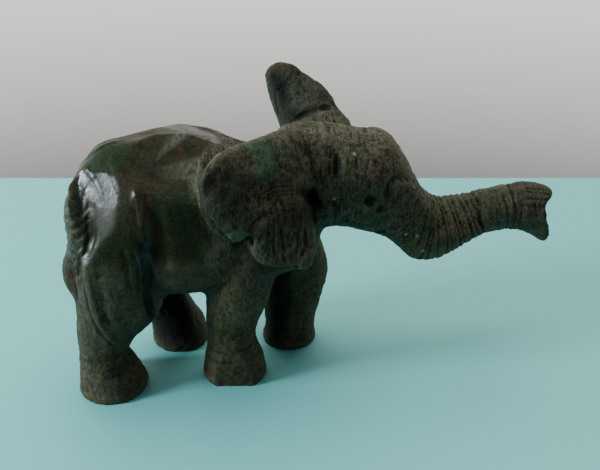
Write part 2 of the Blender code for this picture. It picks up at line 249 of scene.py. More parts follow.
# Right hind leg: the ridge that sweeps down to the front of the ankle, and the groove behind it
cut([(-73.6, -18.7, 55), (-72.4, -21.1, 47), (-71.7, -21.9, 39), (-70.6, -22.3, 31), (-67.6, -22.3, 24),
     (-64.5, -21, 19)], 1.1, -0.22)
LEG_GROOVE = [(-75.2, -17.8, 54), (-74.6, -19.8, 48), (-74.2, -20.9, 42), (-73.4, -21.2, 35),
              (-71.4, -21.9, 28), (-68, -22.2, 22)]
cut(LEG_GROOVE, 1.1, 0.35)
cut([(-69.6, -21.5, 53), (-69.0, -22.8, 45), (-68.8, -23, 37), (-67.4, -22.8, 29)], 1.5, 0.3)
# The groove between tail and thigh
TAIL_GROOVE = [(-70.2, -12.5, 72.5), (-71.3, -15.5, 67), (-71.6, -17, 61), (-72.6, -18.2, 56),
               (-75.2, -17.8, 52)]
cut(TAIL_GROOVE, 1.2, 0.3)
# The edge where the flats of the rump meet, from the root of the tail to the flank
cut([(-71.8, -4, 77.4), (-69.4, -10, 76.8), (-67.4, -14.5, 73.8), (-66.4, -16.6, 70.5)], 1.5, -0.2)
cut([(-64.5, -9, 80.5), (-62.5, -15, 76.8), (-61.0, -18.2, 73)], 1.3, 0.2)
# Pocket between the right ear and the cheek, with the slit below it
inward = (0.05, 0.87, -0.49)
POCKET = [(-6.8, -20.3, 73.0), (-4.7, -18.5, 71.0), (-2.2, -15.5, 68), (-1.0, -15.6, 65.2)]
SLIT = [(-1.0, -15.6, 65.5), (-1.6, -17.4, 62.8), (-0.9, -18.6, 59.8), (-0.2, -16.5, 55.6)]
cut(POCKET, 2.2, 0.7, toward=inward)
cut(POCKET[1:], 3.2, 1.2, toward=inward)
cut(SLIT, 2.2, 1.8, toward=inward)
# Right ear: arcs over the front of its upper lobe, two pits, the cleft between the lobes, and its rim
for lift, firm in ((0.0, 0.35), (1.5, 0.28), (2.7, 0.2), (-1.6, 0.18)):
    cut([(-19.5, -24.9, 73.2 - lift), (-15.3, -23.3, 75.2 - lift), (-11, -22.1, 75.2 - lift),
         (-7.0, -20.8, 74.4 - lift)], 0.65, firm)
cut([(-12.8, -24.0, 71.6), (-12.2, -24.2, 70.0)], 0.8, 0.35)
cut([(-11.9, -24.5, 69.0), (-11.5, -24.8, 67.8)], 0.8, 0.35)
cut([(-24.6, -28.5, 61.0), (-22.3, -28.3, 65.4), (-19.5, -27.5, 68.3)], 0.9, 0.55)
cut([(-22.3, -28.3, 65.4), (-22.4, -27.3, 61), (-21.6, -26.6, 57)], 1.0, 0.6)
cut([(-32, -20.5, 86), (-35.2, -25.5, 82.2), (-36.4, -27.6, 77.6), (-35, -28, 71.5), (-31.5, -27.8, 66),
     (-28, -27.4, 62)], 0.9, -0.12, steps=12)
cut([(-21.2, -26.2, 57), (-19.6, -26, 53.0), (-16.5, -26, 51.2), (-11, -26, 50.6), (-5.6, -25, 49.8),
     (-3.6, -22.8, 54)], 0.8, -0.4, steps=12)
# Left ear: the crease along its root, and a dint at the end of it
EAR_CREASE = [(-2.9, 20.3, 81.5), (0.7, 19.2, 83.4), (4.4, 18.2, 85.2), (8, 17.2, 86.2)]
cut(EAR_CREASE, 0.8, 0.4)
cut(EAR_CREASE[:2], 0.8, 0.5)
cut([(5.4, 18.0, 85.2), (8.6, 16.8, 86.2)], 1.4, 0.8)
cut([(-8, 27, 93), (-3.6, 25.5, 86), (-1.5, 23.5, 81)], 3.0, 0.8)
cut([(-4.5, 26.5, 92), (0.5, 24.5, 88.5), (4, 21.5, 87)], 1.3, -0.35)
# Face, on both sides: the eye and its lids, the root of the trunk, the mouth, the cheek and the brow
for side in (-1, 1):
    cut([(14.9, side * 14.9, 64.9), (17.0, side * 13.9, 65.5), (19.1, side * 13.6, 64.9)], 0.8, 0.45)
    cut([(14.4, side * 15.5, 64.6), (15.6, side * 15.5, 63.1), (17.6, side * 15.2, 62.8),
         (19.1, side * 14.5, 64)], 0.8, -0.5)
    cut([(14.8, side * 15.4, 67.6), (17, side * 15.2, 67.8), (19.2, side * 14.5, 66.6)], 0.8, -0.2)
    cut([(18.9, side * 14.5, 62.2), (20.2, side * 13.9, 60.8)], 0.9, 0.5)
    cut([(23.8, side * 13.2, 63.8), (23.1, side * 12.9, 66.2), (23.4, side * 12.5, 68.4),
         (24.8, side * 11.6, 70.4), (27.0, side * 10.3, 71.3), (30.1, side * 8.5, 70.7),
         (33.2, side * 6.1, 68.2)], 1.6, -0.25)
    cut([(26.5, side * 11, 69.0), (29.5, side * 9.6, 67.5), (32, side * 8.6, 64.6)], 2.4, -0.35)
    cut([(21.5, side * 9, 52.4), (23.6, side * 8.2, 50.2), (26.4, side * 5, 46.4)], 1.1, 0.6)
    cut([(5.0, side * 15.6, 67), (5.4, side * 15.4, 63), (5.8, side * 13.8, 59)], 1.1, 0.55)
    cut([(7, side * 15.9, 67.8), (9.6, side * 15.7, 66.2), (12.3, side * 15.3, 64.1)], 0.8, -0.3)
    cut([(6.7, side * 10.3, 81.6), (6.1, side * 12.2, 78.8), (5.6, side * 13.7, 76),
         (5.1, side * 14.8, 73)], 1.2, 0.5)
    cut([(8.6, side * 12, 79), (8.2, side * 13.8, 76), (8.0, side * 14.8, 73.4)], 1.0, -0.25)
# Creases round the ankles
for x, y, z, around in ((-72.0, -12.3, 15.5, 9.5), (-71.6, -12.6, 11.5, 9.9), (-28.8, -10.4, 14.0, 8.8),
                        (-28.5, -10.6, 10.0, 9.6), (-50.2, 12.6, 15.5, 9), (-6.6, 8.6, 8.5, 9.4)):
    ankle = [(x + around * math.cos(a), y + around * math.sin(a), z + 0.7 * math.sin(2 * a + x))
             for a in np.linspace(0, 2 * math.pi, 13)]
    cut(ankle[:8], 1.2, 0.25)
    cut(ankle[6:], 1.2, 0.2)

# The hollow in the end of the trunk, between its upper finger and its lower lip
INTO_TRUNK = (-1, 0, 0)
cut([(82, -9, 56.4), (82, -4, 56), (82, 4, 56), (82, 9, 56.4)], 3.4, 1.6, toward=INTO_TRUNK, taper=1)
cut([(81, -8.5, 52.5), (81, -3, 52.5), (81, 3, 52.5), (81, 8.5, 52.5)], 3.0, 0.8,
    toward=INTO_TRUNK, taper=1)

set_skin(elephant, points)


# The trunk is ringed with a thin file, about 2 mm apart and never quite square to it, and scratched
# finely between the rings.

def tree_with(name, inputs):
    """An empty geometry tree with named inputs, and the nodes at its two ends."""
    group = bpy.data.node_groups.new(name, "GeometryNodeTree")
    group.interface.new_socket("Geometry", in_out="INPUT", socket_type="NodeSocketGeometry")
    for label, kind, value in inputs:
        socket = group.interface.new_socket(label, in_out="INPUT", socket_type="NodeSocket" + kind)
        if value is not None:
            socket.default_value = value
    group.interface.new_socket("Geometry", in_out="OUTPUT", socket_type="NodeSocketGeometry")
    return group, group.nodes.new("NodeGroupInput"), group.nodes.new("NodeGroupOutput")


def node(group, kind, settings=None, **values):
    """A node with its settings, and its inputs set or linked by their names."""
    made = group.nodes.new(kind)
    for key, value in (settings or {}).items():
        setattr(made, key, value)
    for key, value in values.items():
        wanted = key.replace("_", " ").lower()
        socket = next(s for s in made.inputs if s.name.lower() == wanted and s.enabled)
        if isinstance(value, bpy.types.NodeSocket):
            group.links.new(value, socket)
        else:
            socket.default_value = value
    return made


def maths(group, operation, first, second=0.0):
    made = node(group, "ShaderNodeMath", {"operation": operation})
    for socket, value in zip(made.inputs, (first, second)):
        if isinstance(value, bpy.types.NodeSocket):
            group.links.new(value, socket)
        else:
            socket.default_value = value
    return made.outputs[0]


def set_input(modifier, label, value):
    """Sets a tree's input by its name, through the socket's identifier."""
    for item in modifier.node_group.interface.items_tree:
        if item.item_type == "SOCKET" and item.in_out == "INPUT" and item.name == label:
            modifier[item.identifier] = value


stone = bpy.data.materials.new("verdite stone")


def pressed_in(group, start, end, amount):
    """Moves the surface along its normals, and ends the tree."""
    normal = node(group, "GeometryNodeInputNormal").outputs["Normal"]
    offset = node(group, "ShaderNodeVectorMath", {"operation": "SCALE"}, Vector=normal, Scale=amount)
    moved = node(group, "GeometryNodeSetPosition", Geometry=start, Offset=offset.outputs[0])
    whole = node(group, "GeometryNodeRealizeInstances", Geometry=moved.outputs["Geometry"])
    dressed = node(group, "GeometryNodeSetMaterial", Geometry=whole.outputs["Geometry"], Material=stone)
    group.links.new(dressed.outputs["Geometry"], end.inputs["Geometry"])


# Discs stand across the trunk's middle line, and the surface is pressed in where it is close to one
rings, ends_in, ends_out = tree_with("Rings filed round a trunk", [
    ("Middle line", "Object", None), ("Spacing", "Float", 0.004), ("Reach", "Float", 0.015),
    ("Width", "Float", 0.001), ("Depth", "Float", 0.0004), ("Tilt", "Float", 0.1), ("Seed", "Int", 3)])
line = node(rings, "GeometryNodeObjectInfo", Object=ends_in.outputs["Middle line"])
places = node(rings, "GeometryNodeCurveToPoints", {"mode": "LENGTH"}, Curve=line.outputs["Geometry"],
              Length=ends_in.outputs["Spacing"])
square = node(rings, "FunctionNodeAlignRotationToVector", {"axis": "Z"}, Vector=places.outputs["Tangent"])
swing = node(rings, "FunctionNodeRandomValue", {"data_type": "FLOAT_VECTOR"},
             Min=(-1, -1, 0), Max=(1, 1, 0), Seed=ends_in.outputs["Seed"])
swing = node(rings, "ShaderNodeVectorMath", {"operation": "SCALE"}, Vector=swing.outputs[0],
             Scale=ends_in.outputs["Tilt"])
swing = node(rings, "FunctionNodeEulerToRotation", Euler=swing.outputs[0])
askew = node(rings, "FunctionNodeRotateRotation", {"rotation_space": "LOCAL"})
rings.links.new(square.outputs["Rotation"], askew.inputs[0])
rings.links.new(swing.outputs[0], askew.inputs[1])
disc = node(rings, "GeometryNodeMeshCircle", {"fill_type": "NGON"}, Vertices=24,
            Radius=ends_in.outputs["Reach"])
discs = node(rings, "GeometryNodeInstanceOnPoints", Points=places.outputs["Points"],
             Instance=disc.outputs["Mesh"], Rotation=askew.outputs["Rotation"])
discs = node(rings, "GeometryNodeRealizeInstances", Geometry=discs.outputs["Instances"])
near = node(rings, "GeometryNodeProximity", {"target_element": "FACES"})
rings.links.new(discs.outputs["Geometry"], near.inputs[0])
close = maths(rings, "DIVIDE", near.outputs["Distance"], ends_in.outputs["Width"])
close = node(rings, "ShaderNodeMapRange", {"interpolation_type": "SMOOTHSTEP"}, Value=close,
             To_Min=1.0, To_Max=0.0)
patchy = node(rings, "ShaderNodeTexNoise", Scale=170.0, Detail=1.0)
patchy = maths(rings, "SUBTRACT", maths(rings, "MULTIPLY", patchy.outputs[0], 3.0), 0.5)
amount = maths(rings, "MULTIPLY", close.outputs[0], patchy)
amount = maths(rings, "MULTIPLY", amount, ends_in.outputs["Depth"])
pressed_in(rings, ends_in.outputs["Geometry"], ends_out, maths(rings, "MULTIPLY", amount, -1.0))


def line_object(name, path):
    """A curve through points in millimetres, to guide a geometry tree."""
    curve = bpy.data.curves.new(name, "CURVE")
    curve.dimensions = "3D"
    spline = curve.splines.new("POLY")
    spline.points.add(len(path) - 1)
    for point, place in zip(spline.points, (np.array(path, float) - MIDDLE) * MM):
        point.co = (*place, 1)
    return new_thing(name, curve)


RINGED_PART = [(35, 0, 48.0), (39, 0, 47.2), (43, 0, 47.3), (50, 0, 48.8), (57, 0, 51.3)]
OUTER_PART = [(57, 0, 51.3), (63, 0, 52.8), (71, 0, 53.4)]
FACE_TO_TIP = [(26, 0, 64), (30, 0, 58.5), (35.5, 0, 52), (38, 0, 48.6), (43, 0, 47.1), (50, 0, 48.6),
               *OUTER_PART, (75, 0, 52.8)]
deep_line = line_object("ringed part", through(RINGED_PART, 6))
faint_line = line_object("outer part", through(OUTER_PART, 6))
fine_line = line_object("face to tip", through(FACE_TO_TIP, 6))
for line_thing, spacing, width, depth, lean, seed in (
        (deep_line, 2.1, 0.65, 0.45, 0.05, 4), (faint_line, 2.7, 0.6, 0.2, 0.07, 9),
        (fine_line, 1.1, 0.4, 0.14, 0.12, 11)):
    filed = elephant.modifiers.new("Rings", "NODES")
    filed.node_group = rings
    for label, value in (("Middle line", line_thing), ("Spacing", spacing * MM), ("Width", width * MM),
                         ("Depth", depth * MM), ("Tilt", lean), ("Seed", seed)):
        set_input(filed, label, value)
worked_in(elephant)
for guide in (deep_line, faint_line, fine_line):
    bpy.data.objects.remove(guide)


# Lines filed in rows: down the right ear, over both faces of the left one, down the cheeks and forehead,
# and along the trunk's tip. Then the tail's plaits and hairs, and the rasp's marks on the legs.

tree = surface_tree()
points, normals = skin_of(elephant)
hand = np.random.default_rng(7)


def row_of_cuts(starts, ends, count, width, depth, bend=(0, 0, 0), waver=0.5, broken=0.0):
    """Cuts from a line of starts to a line of ends, each wavering a little and some of them broken short,
    as a file in the hand leaves them."""
    starts, ends = through(starts, 6), through(ends, 6)
    for share in (np.arange(count) + 0.5) / count:
        share = np.clip(share + hand.normal(0, 0.15 / count), 0, 1)
        a = starts[int(share * (len(starts) - 1))] + hand.normal(0, waver, 3)
        b = ends[int(share * (len(ends) - 1))] + hand.normal(0, waver, 3)
        first, last = hand.uniform(0, broken), 1 - hand.uniform(0, broken)
        a, b = a + (b - a) * first, a + (b - a) * last
        middle = (a + b) / 2 + np.array(bend) + hand.normal(0, waver * 0.6, 3)
        cut([a, middle, b], width * hand.uniform(0.75, 1.3), depth * hand.uniform(0.3, 1.3),
            soft=1.5, steps=10)


# Right ear, lower lobe: from the fold down to the rim
row_of_cuts([(-19, -27, 66), (-14, -26, 67), (-9, -25, 67), (-4, -22.5, 66)],
            [(-20, -25.5, 53), (-14, -25.5, 51.5), (-9, -25.5, 51), (-5.5, -25, 50.5)],
            13, 0.85, 0.42, broken=0.3)
row_of_cuts([(-20, -27.5, 64), (-12, -27, 63), (-4, -25, 62)],
            [(-19, -25.5, 52), (-12, -25.5, 51), (-6, -25, 50)], 24, 0.55, 0.25, broken=0.5)
row_of_cuts([(-16, -25, 74), (-9, -22.5, 73.5), (-5, -21, 72)],
            [(-17, -27, 62), (-10, -26.5, 62), (-4, -24.5, 60)], 18, 0.6, 0.2, broken=0.6)
# Right ear, upper lobe: short marks that fan back and down
row_of_cuts([(-29, -20, 86), (-20, -16, 87), (-11, -16, 84)],
            [(-33, -27, 68), (-26, -28.5, 64), (-16, -26, 72)], 26, 0.55, 0.12, broken=0.7)
# Left ear, front and back
row_of_cuts([(-9, 29, 93), (-4, 27, 92), (2, 25, 88), (6, 21, 84)],
            [(-6, 26, 76), (-2, 24, 76), (1, 22, 76), (4, 18, 76)], 16, 0.7, 0.3, broken=0.3)
row_of_cuts([(-10, 33, 93), (-2, 32, 92), (5, 27, 88)],
            [(-8, 33, 74), (-4, 31, 66), (0, 26, 62)], 14, 0.8, 0.3, broken=0.3)
# Cheeks and forehead, and down over the jaw
for side in (-1, 1):
    row_of_cuts([(-2, side * 14, 83), (8, side * 15, 83), (19, side * 13.5, 81)],
                [(0, side * 16.5, 68), (8, side * 16, 68), (15, side * 15.5, 69)],
                26, 0.6, 0.2, broken=0.7)
    row_of_cuts([(4, side * 16, 72), (12, side * 15.5, 62), (19, side * 14.5, 60)],
                [(4, side * 12, 55), (12, side * 12, 53), (20, side * 10, 51)], 20, 0.6, 0.18, broken=0.6)
    row_of_cuts([(19, side * 13, 81), (25, side * 11, 78)], [(21, side * 14, 68), (33, side * 9, 66)],
                12, 0.6, 0.16, broken=0.6)
row_of_cuts([(0, -13, 84.5), (10, -12, 84), (20, -11, 82)], [(0, 13, 84.5), (10, 12, 84), (20, 11, 82)],
            16, 0.7, 0.15, broken=0.5)
row_of_cuts([(24, -8, 80), (31, -7, 73), (36, -6, 65)], [(24, 8, 80), (31, 7, 73), (36, 6, 65)],
            14, 0.7, 0.2, broken=0.4)
# Along the upper finger of the trunk, then the deep ring halfway and two where the finger begins
for side in (-1, 1):
    row_of_cuts([(71.5, side * 8.4, 53), (71.5, side * 6, 59), (71.5, side * 2, 61)],
                [(80, side * 8.6, 53.5), (82, side * 6.5, 57.5), (82, side * 2, 59)],
                6, 0.6, 0.4, waver=0.25)
for x, depth in ((55.6, 0.8), (68.2, 0.45), (70.2, 0.35)):
    cut([(x, -8, 50), (x + 0.3, -8.4, 54), (x - 0.2, -6, 59), (x - 0.4, 0, 61.4), (x, 6, 59),
         (x + 0.2, 8.4, 52)], 0.95, depth)
# The plaits of the tail, then its tuft of hair
TAIL = through([(-74.3, -11.3, 70), (-75.0, -13.2, 63), (-74.8, -13.8, 57.5), (-76.4, -13.5, 52),
                (-78.0, -12.8, 47.5), (-78.2, -12.4, 42), (-76.8, -12.8, 36.5), (-74.5, -13.8, 31)], 8)
STRANDS, TOP_STRAND, STRAND_SPACING = 7, 70.5, 3.4
BAND_RADIUS, BAND_DROP = 4.4, 3.6
for strand in range(STRANDS):
    z = TOP_STRAND - STRAND_SPACING * strand
    core = TAIL[np.abs(TAIL[:, 2] - z + 1.5).argmin()]
    for start, turn, drop in ((165, 105, 0.0), (330, -75, 1.6)):
        band = []
        for share in np.linspace(0, 1, 5):
            angle = math.radians(start + turn * share)
            band.append((core[0] + BAND_RADIUS * math.cos(angle), core[1] + BAND_RADIUS * math.sin(angle),
                         z - drop - BAND_DROP * share))
        cut(band, 0.9, 0.28, soft=1.5, taper=0.5)
for angle in np.radians(np.arange(150, 331, 16)):
    hair = [core + 4.0 * np.array((math.cos(angle + 0.1 * k), math.sin(angle + 0.1 * k), 0))
            for k, core in enumerate(TAIL[28::5])]
    cut(hair, 0.65, hand.uniform(0.2, 0.5), soft=1.5)
# Legs and feet: short marks of the rasp, each leg given by its middle and the radius that they lie on
MARKS_A_LEG = 90
for x, y, radius in ((-69.9, -12.6, 11), (-48.5, 12.4, 10), (-28.3, -10.8, 9.8), (-6.2, 8.2, 9.2)):
    for _ in range(MARKS_A_LEG):
        angle, z, length = hand.uniform(0, 2 * math.pi), hand.uniform(2, 36), hand.uniform(1, 3)
        turned = angle + hand.normal(0, 1.2) * 0.15
        a = np.array((x + radius * math.cos(angle), y + radius * math.sin(angle), z))
        b = np.array((x + radius * math.cos(turned), y + radius * math.sin(turned), z - length))
        cut([a, b], 0.8, hand.uniform(-0.15, 0.25), soft=1.5, steps=6)
set_skin(elephant, points)


# Where the stone isn't polished, the rasp has left a fine uneven tooth all over it: on the head, the ears,
# the trunk, the tail and the feet, and more faintly on the chest and the belly.

EAR_OUTLINE = [(-29, 90), (-32, 84), (-34.7, 82), (-37.2, 79), (-38.2, 75), (-37.6, 70), (-36, 65.5),
               (-33, 60.5), (-28.5, 57), (-25, 58), (-22.5, 56), (-20.5, 50), (-12, 48.5), (-4, 48),
               (4, 50), (4, 90)]


def within(across, up, outline, soft):
    """1 well inside a closed outline, 0 outside it, with a soft edge."""
    here = np.stack([across, up], 1)
    odd, gap = np.zeros(len(here), bool), np.full(len(here), np.inf)
    for a, b in zip(np.array(outline, float), np.array(outline[1:] + outline[:1], float)):
        with np.errstate(divide="ignore", invalid="ignore"):
            crossing = a[0] + (here[:, 1] - a[1]) * (b[0] - a[0]) / (b[1] - a[1])
        odd ^= ((a[1] > here[:, 1]) != (b[1] > here[:, 1])) & (here[:, 0] < crossing)
        along = np.clip((here - a) @ (b - a) / ((b - a) @ (b - a)), 0, 1)
        gap = np.minimum(gap, np.linalg.norm(here - a - along[:, None] * (b - a), axis=1))
    return np.where(odd, np.clip(gap / soft, 0, 1), 0)


def roughened(points):
    """How much of the rasp shows: 0 on the polished body, 1 on the head, the ears and the trunk."""
    x, y, z = points.T
    head = share_between(x, -8.0, -3.0)
    neck = share_between(x, -33, -26) * share_between(z, 74, 82)
    right_ear = np.maximum(within(x, z, EAR_OUTLINE, 0.8) * share_between(-y, 2, 5),
                           within(x + 1.6, z, EAR_OUTLINE, 0.8) * share_between(-y, 23, 24.5))
    left_ear = share_between(y, 14, 18) * share_between(x, -16, -10) * share_between(z, 55, 62)
    legs = 0.75 * share_between(-z, -48, -36) + 0.25 * share_between(-z, -25, -18)
    legs *= np.maximum(share_between(x, -42, -38), share_between(-z, -36, -22))
    plaits = near_line(points, [(-76, -15, 69), (-76.6, -15.8, 60), (-78, -15, 52)], 5.5) ** 0.5
    tuft = near_line(points, [(-78, -15, 50), (-79, -14.5, 46), (-76.6, -15, 33)], 5.5) ** 0.5
    belly = 0.65 * share_between(-z, -56, -46)
    chest = 0.85 * share_between(x, -40, -33) * share_between(-z, -64, -54)
    return np.clip(np.maximum.reduce([head, neck, right_ear, left_ear, legs, 0.5 * plaits, 0.85 * tuft,
                                      belly, chest]), 0, 1)


def store(thing, name, values):
    attribute = thing.data.attributes.get(name) or thing.data.attributes.new(name, "FLOAT", "POINT")
    attribute.data.foreach_set("value", values.astype(np.float32))


store(elephant, "rasped", roughened(skin_of(elephant)[0]))

tooth, ends_in, ends_out = tree_with("Tooth of the rasp", [
    ("Across", "Float", 900.0), ("Along", "Float", 380.0), ("Depth", "Float", 0.0001),
    ("Dints", "Float", 1.2)])
position = node(tooth, "GeometryNodeInputPosition").outputs[0]
across = node(tooth, "ShaderNodeCombineXYZ", X=ends_in.outputs["Across"], Y=ends_in.outputs["Along"],
              Z=ends_in.outputs["Along"])
stretched = node(tooth, "ShaderNodeVectorMath", {"operation": "MULTIPLY"})
tooth.links.new(position, stretched.inputs[0])
tooth.links.new(across.outputs[0], stretched.inputs[1])
marks = node(tooth, "ShaderNodeTexNoise", Vector=stretched.outputs[0], Scale=1.0, Detail=2.0)
lumps = node(tooth, "ShaderNodeTexNoise", Vector=position, Scale=300.0, Detail=4.0, Roughness=0.7)
marks = maths(tooth, "ADD", marks.outputs[0], maths(tooth, "MULTIPLY", lumps.outputs[0], 1.6))
dints = node(tooth, "ShaderNodeTexNoise", Vector=position, Scale=125.0, Detail=1.0)
dints = maths(tooth, "SUBTRACT", dints.outputs[0], 0.5)
dints = maths(tooth, "MULTIPLY", dints, ends_in.outputs["Dints"])
marks = maths(tooth, "ADD", marks, dints)
where = node(tooth, "GeometryNodeInputNamedAttribute", {"data_type": "FLOAT"}, Name="rasped").outputs[0]
marks = maths(tooth, "MULTIPLY", maths(tooth, "SUBTRACT", marks, 1.3), where)
marks = maths(tooth, "MULTIPLY", marks, ends_in.outputs["Depth"])
pressed_in(tooth, ends_in.outputs["Geometry"], ends_out, marks)
filed = elephant.modifiers.new("Tooth", "NODES")
filed.node_group = tooth
set_input(filed, "Depth", 0.5 * MM)
worked_in(elephant)

# Thinned to what one piece may have, and the soles ground level with the ground
TRIANGLES = 190000
thin = elephant.modifiers.new("Thinned", "DECIMATE")
thin.ratio = TRIANGLES / sum(len(face.vertices) - 2 for face in elephant.data.polygons)
worked_in(elephant)
elephant.data.shade_smooth()
points, _ = skin_of(elephant)
set_skin(elephant, np.maximum(points, (-np.inf, -np.inf, MIDDLE[2])))


# Verdite is dark olive and brown, clouded with green, with pale veins. The carving is waxed and
# polished on the body, and dust lies in the rasp marks elsewhere, with painted light and shade laid over
# it.

HOLLOW_DEPTH = 0.12
EASING_ROUNDS = 6
points, normals = skin_of(elephant)
edges, links = next_to(elephant)
eased = points.copy()
for _ in range(EASING_ROUNDS):
    eased = neighbours(eased, edges, links)
hollow = ((eased - points) * normals).sum(1) / HOLLOW_DEPTH
store(elephant, "hollow", np.clip(hollow, 0, 1))
store(elephant, "edge", np.clip(-hollow, 0, 1))
store(elephant, "rasped", roughened(points))


def patches(spots):
    """The strongest of some soft patches, each given by its strength, its middle and its reach."""
    return np.maximum.reduce([strength * near_to(points, middle, reach)
                              for strength, middle, reach in spots])


def stripes(lines):
    """The strongest of some soft stripes, each given by its strength, its path and its width."""
    return np.maximum.reduce([strength * near_line(points, path, width)
                              for strength, path, width in lines])


# Painted shade: the pocket behind the cheek, the folds, the grooves and the creases, and the trunk's end
shaded_lines = stripes((
    (1.0, [(-4.4, -18.3, 69.8), (-2.4, -16.4, 67.6), (-0.6, -15.6, 65.2)], 2.6),
    (1.0, SLIT, 2.1), (0.9, THIGH_FOLD, 2.3), (0.9, EAR_CREASE[:2], 1.4), (0.4, EAR_CREASE, 1.0),
    (0.25, TAIL_GROOVE, 1.3), (0.5, LEG_GROOVE, 1.3),
    (0.55, [(-9, 27.2, 94), (-7.4, 25, 88.5), (-5.6, 22.8, 84.3), (-4, 21, 80)], 4.2),
    (1.0, [(-26.5, -23.5, 57), (-22.6, -26, 59.5)], 2.2),
    (0.8, [(6.2, -12.2, 79), (5.6, -14, 75.6)], 1.6),
    (0.5, [(-12.6, -24.1, 71.2), (-11.8, -24.6, 68.4)], 1.1),
    (0.6, [(81, -8, 54.5), (81, 0, 54.2), (81, 8, 54.5)], 4.5),
    (0.6, [(-52.6, -22.4, 60), (-52.6, -21.9, 52), (-53.2, -20.5, 42)], 3.0),
    (0.7, [(55.6, -8, 50), (55.9, -8.4, 54), (55.4, -6, 59), (55.2, 0, 61.4)], 1.0),
    (0.42, [(-31, -19.5, 86.5), (-35.4, -25, 82.2), (-37.2, -27, 77.6), (-37, -27, 71.5),
            (-34, -26.5, 66)], 3.2),
    (0.7, [(-22, -20, 47.5), (-14, -18, 47), (-8, -15, 47)], 4.5)))
# Painted shade: in the left ear's dint, in and below the eyes, on the right ear's folds, inside the far
# legs and on the near flat of the back
shaded_places = patches((
    (0.7, (7, 17.3, 85.8), (2.6, 3, 1.4)),
    (0.45, (17.0, -13.6, 65.2), (2.3, 2, 0.6)), (0.45, (17.0, 13.6, 65.2), (2.3, 2, 0.6)),
    (0.3, (19.4, -14, 61.6), (1.1, 2, 0.9)), (0.3, (19.4, 14, 61.6), (1.1, 2, 0.9)),
    (0.5, (-9, -24, 66), (6, 5, 8)), (0.6, (-4, -21, 66), (4, 5, 9)),
    (1.2, (-15, 1, 23), (9.5, 10, 27)), (1.0, (-51, 6, 20), (13, 12, 25)),
    (0.6, (-50, -4, 36), (9, 14, 6)), (0.45, (-49.5, -10.5, 80), (11, 10, 7))))
# All the painted shade, kept as one mask
store(elephant, "painted_shade", share_between(np.maximum(shaded_lines, shaded_places), 0.0, 0.85))

# Pale veins down from the back behind the shoulder; painted light on the wedge between the right ear's
# lobes
pale_lines = stripes((
    (1.0, [(-42.6, -0.4, 86.2), (-40.2, -2.9, 84.2), (-38.6, -6.4, 81.4), (-37.8, -10.3, 78.6),
           (-37.6, -14.1, 75.9), (-37.2, -17, 74)], 2.0),
    (0.8, [(-44.0, -0.6, 86.4), (-41.2, -4, 83.8), (-39.5, -7.5, 81)], 1.3),
    (0.45, [(-37.0, -19, 72), (-35, -21.5, 64), (-33.5, -22, 59)], 1.6)))
# Painted light: the wedge is made pale, as if lit from the table below
painted_light_on_wedge = patches(((1.5, (-26.2, -28, 61.2), (4.2, 4.8, 4.0)),))
store(elephant, "vein_and_painted_light", share_between(np.maximum(pale_lines, painted_light_on_wedge), 0.0, 0.7))

# Clouds of green: on the flank and thigh, the back and the tail, the head and both ears, and the left side
store(elephant, "green", np.clip(patches((
    (1.0, (-43, -21, 69), (9, 7, 7)), (0.8, (-47, -22, 56), (9, 8, 12)),
    (0.9, (-62, -22, 43), (13, 9, 22)), (0.5, (-36, -21, 52), (8, 8, 12)),
    (0.6, (-31, -21, 18), (8, 8, 18)), (0.6, (-66, -8, 81), (12, 10, 6)),
    (1.3, (-76, -15, 61), (6, 7, 15)),
    (0.9, (-23, -15, 86), (9, 7, 5)), (1.0, (10, -14, 59), (16, 9, 9)), (0.8, (33, -9, 45), (11, 8, 6)),
    (0.9, (-12, -26, 56), (12, 6, 9)), (0.7, (-30, -28, 68), (7, 6, 8)), (0.6, (-12, -17, 80), (6, 8, 8)),
    (0.35, (-4, 25, 88), (9, 8, 12)), (0.7, (10, 14, 58), (16, 10, 12)),
    (0.8, (-30, 22, 55), (22, 10, 20)), (0.7, (-66, 14, 60), (14, 14, 22)))), 0, 1))

# Brighter green on top of the right ear, on the tail and on the left flank; painted light in the ear's
# wedge
store(elephant, "brighter_green_and_painted_light", np.clip(patches((
    (1.0, (-17.3, -19.5, 82.5), (4.4, 8, 8)), (1.8, (-26.2, -27.5, 61.2), (4.2, 5, 3.8)),
    (0.5, (-20.5, -15, 87), (3.5, 5, 3)), (0.35, (-76, -15, 60), (5, 6, 12)),
    (0.5, (-45, 20, 66), (8, 8, 6)))), 0, 1))

# Rust: on the tuft and the feet, over the belly and chest, at the trunk's deep ring and end, and in spots
store(elephant, "rust", np.clip(patches((
    (1.0, (-78, -14.5, 42), (4, 6, 9)),
    (0.8, (-7, 4, 6), (11, 10, 9)), (0.8, (-66, -14, 6), (14, 14, 14)),
    (0.6, (-28, -12, 8), (13, 13, 15)), (0.6, (-45, 12, 10), (13, 13, 16)),
    (0.9, (2, 2, 30), (5, 7, 10)), (0.8, (-42, -20, 45), (16, 8, 9)),
    (0.6, (-29, -21, 48), (11, 8, 12)), (0.2, (-64, -21, 42), (12, 8, 20)),
    (0.8, (56.5, -8, 49.5), (2.0, 4, 3)), (0.8, (82, -5, 53), (4, 7, 6)),
    (0.6, (-37.5, -18, 40), (4, 5, 5)), (0.5, (-24, -20, 26), (5, 6, 5)),
    (0.4, (-38.5, -16, 78), (4, 8, 8)), (0.5, (3, 16, 84), (9, 6, 6)))), 0, 1))

# White chips where the stone was knocked
CHIP_SIZE = (0.6, 1.2, 0.6)
chips = patches([(2.0, place, CHIP_SIZE) for place in (
    (30.1, -10.9, 50.3), (33.7, -11.5, 50), (36.5, -10.3, 43.5), (11.6, -11.4, 80.2), (5.1, -15.9, 67.2),
    (26, 11, 60), (12, 12, 79), (-30, 22, 60), (44, 9, 50))])
store(elephant, "chips", np.clip(chips, 0, 1))
